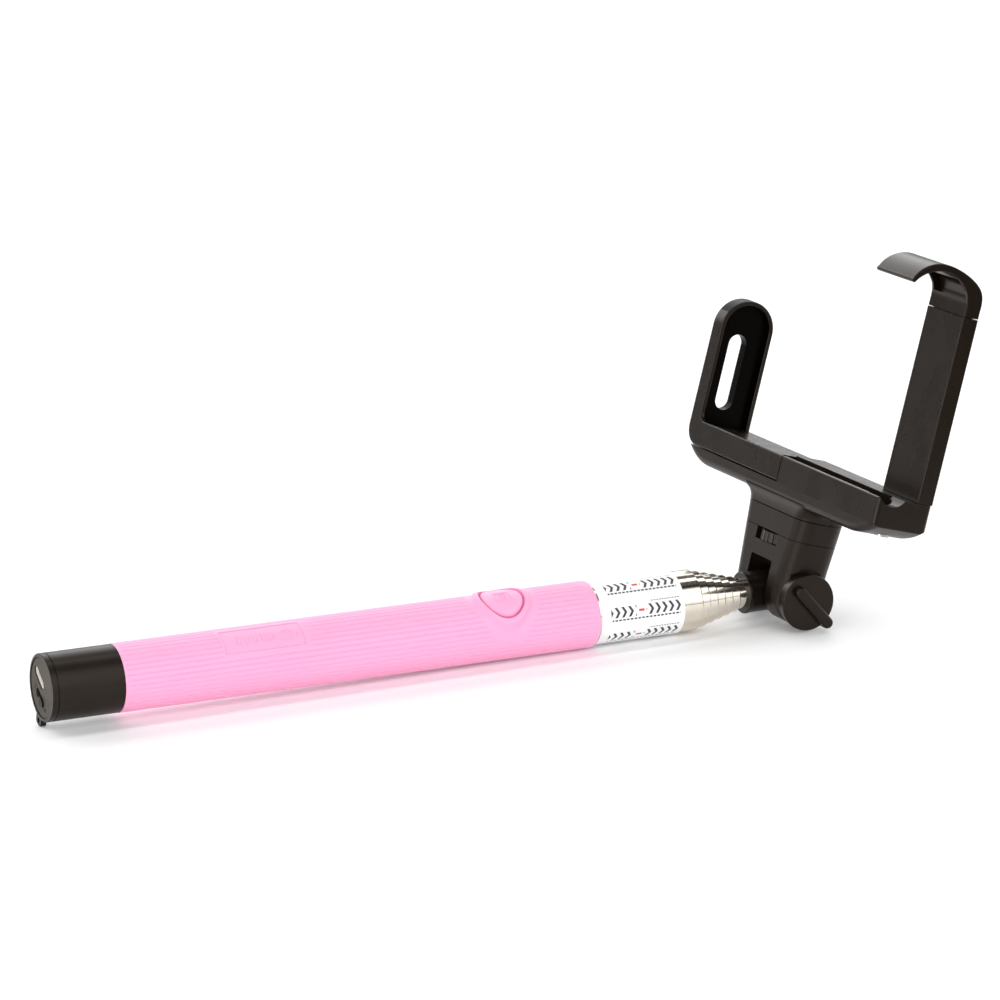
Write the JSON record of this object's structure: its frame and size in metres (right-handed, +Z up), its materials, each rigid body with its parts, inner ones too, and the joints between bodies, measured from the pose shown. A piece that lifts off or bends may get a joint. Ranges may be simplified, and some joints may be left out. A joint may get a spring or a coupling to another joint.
{
  "type": "selfie stick",
  "caption": "Hand-held telescopic phone stick: ribbed grip with shutter button, nested steel pole, tilting head with thumb knob, swivelling phone clamp with sprung hook.",
  "frame": {"origin": "On the pole's axis at the middle of the grip sleeve, 99.4 mm ahead of the end cap's face.", "axes": "+X runs along the pole from the end cap to the head and is the way the pole extends, +Z is up with the phone clamp above the pole, +Y is the side of the slotted arm, away from the thumb knob."},
  "size_m": [0.279, 0.1213, 0.1232],
  "materials": {
    "cap_black": "fine satin, soft sheen",
    "plate_black": "fine matt, worn grey at the edges",
    "switch_black": "ribbed thumb tab",
    "switch_metal": "pressed tin can",
    "led_lens": "clear red lens",
    "socket_metal": "plated shell",
    "board_green": "solder mask",
    "cell_foil": "foil pouch",
    "core_plastic": "plain moulding",
    "flex_amber": "film cable",
    "dome_steel": "snap dome",
    "button_pink": "smooth soft-touch",
    "grip_pink": "soft matt with fine lengthwise ribs",
    "label_white": "printed film with plain stripes",
    "fitting_black": "satin black",
    "head_black": "fine satin",
    "collar_black": "fine satin",
    "screw_steel": "zinc plated",
    "washer_fibre": "pressed fibre",
    "bolt_steel": "zinc plated",
    "knob_black": "satin with rounded wing",
    "nut_brass": "turned",
    "wheel_black": "ribbed rim",
    "hull_black": "fine satin",
    "block_black": "smooth satin",
    "bracket_black": "smooth satin",
    "bar_black": "plain moulding",
    "arm_black": "smooth satin",
    "hook_black": "smooth satin, semi-gloss crown",
    "spring_steel": "bright wire",
    "tube_steel": "polished, warm nickel tone",
    "bush_nylon": "natural nylon"
  },
  "bodies": {
    "handle": {"end_cap": "cap_black", "end_plate": "plate_black", "switch_body": "switch_metal", "led_lens": "led_lens", "usb_socket": "socket_metal", "control_board": "board_green", "battery_cell": "cell_foil", "handle_core": "core_plastic", "flex_cable": "flex_amber", "dome_switch": "dome_steel", "grip_sleeve": "grip_pink", "tube_1": "tube_steel", "label_wrap": "label_white"},
    "shutter_button": {"shutter_button": "button_pink"},
    "power_switch": {"power_switch": "switch_black"},
    "stage_2": {"tube_2": "tube_steel", "friction_bush_2": "bush_nylon"},
    "stage_3": {"tube_3": "tube_steel", "friction_bush_3": "bush_nylon"},
    "stage_4": {"tube_4": "tube_steel", "friction_bush_4": "bush_nylon"},
    "stage_5": {"tube_5": "tube_steel", "friction_bush_5": "bush_nylon"},
    "stage_6": {"tube_6": "tube_steel", "friction_bush_6": "bush_nylon"},
    "stage_7": {"tube_7": "tube_steel", "friction_bush_7": "bush_nylon", "end_fitting": "fitting_black"},
    "head": {"clevis_body": "head_black", "head_collar": "collar_black", "head_screws": "screw_steel", "friction_washers": "washer_fibre", "pivot_bolt": "bolt_steel"},
    "knob": {"thumb_knob": "knob_black", "knob_insert": "nut_brass"},
    "lock_wheel": {"lock_wheel": "wheel_black", "camera_screw": "screw_steel"},
    "clamp_base": {"base_hull": "hull_black", "insert_nut": "nut_brass", "hull_screws": "screw_steel", "tray_block": "block_black", "hook_arm": "arm_black", "hook_spring": "spring_steel"},
    "bracket": {"slotted_bracket": "bracket_black", "slide_bar": "bar_black"},
    "hook": {"hook_slider": "hook_black"}
  },
  "joints": [
    {"name": "stage_2_slide", "type": "slide", "parent": "handle", "child": "stage_2", "axis": [1, 0, 0], "range_m": [0, 0.128]},
    {"name": "stage_3_slide", "type": "slide", "parent": "stage_2", "child": "stage_3", "axis": [1, 0, 0], "range_m": [0, 0.128]},
    {"name": "stage_4_slide", "type": "slide", "parent": "stage_3", "child": "stage_4", "axis": [1, 0, 0], "range_m": [0, 0.128]},
    {"name": "stage_5_slide", "type": "slide", "parent": "stage_4", "child": "stage_5", "axis": [1, 0, 0], "range_m": [0, 0.128]},
    {"name": "stage_6_slide", "type": "slide", "parent": "stage_5", "child": "stage_6", "axis": [1, 0, 0], "range_m": [0, 0.128]},
    {"name": "stage_7_slide", "type": "slide", "parent": "stage_6", "child": "stage_7", "axis": [1, 0, 0], "range_m": [0, 0.128]},
    {"name": "head_tilt", "type": "hinge", "parent": "stage_7", "child": "head", "pos_m": [0.143, 0, 0], "axis": [0, 1, 0], "range_deg": [-15, 165]},
    {"name": "knob_turn", "type": "hinge", "parent": "head", "child": "knob", "pos_m": [0.143, -0.018, 0], "axis": [0, -1, 0], "range_deg": [0, 270]},
    {"name": "lock_wheel_turn", "type": "hinge", "parent": "head", "child": "lock_wheel", "pos_m": [0.14704, 0, 0.01486], "axis": [0.2622, 0, 0.965], "continuous": true},
    {"name": "clamp_swivel", "type": "hinge", "parent": "head", "child": "clamp_base", "pos_m": [0.14937, 0, 0.02345], "axis": [0.2622, 0, 0.965], "continuous": true},
    {"name": "bracket_slide", "type": "slide", "parent": "clamp_base", "child": "bracket", "axis": [0, 1, 0], "range_m": [0, 0.02]},
    {"name": "hook_slide", "type": "slide", "parent": "clamp_base", "child": "hook", "axis": [0.2622, 0, 0.965], "range_m": [0, 0.02], "stiffness_N_per_m": 150, "springref_m": -0.01, "deforming": ["hook_spring"]},
    {"name": "power_switch_slide", "type": "slide", "parent": "handle", "child": "power_switch", "axis": [0, 0.7986, 0.6018], "range_m": [0, 0.003]},
    {"name": "shutter_press", "type": "slide", "parent": "handle", "child": "shutter_button", "axis": [0, 0.342, -0.9397], "range_m": [0, 0.00025], "stiffness_N_per_m": 4000, "springref_m": -0.0003}
  ]
}
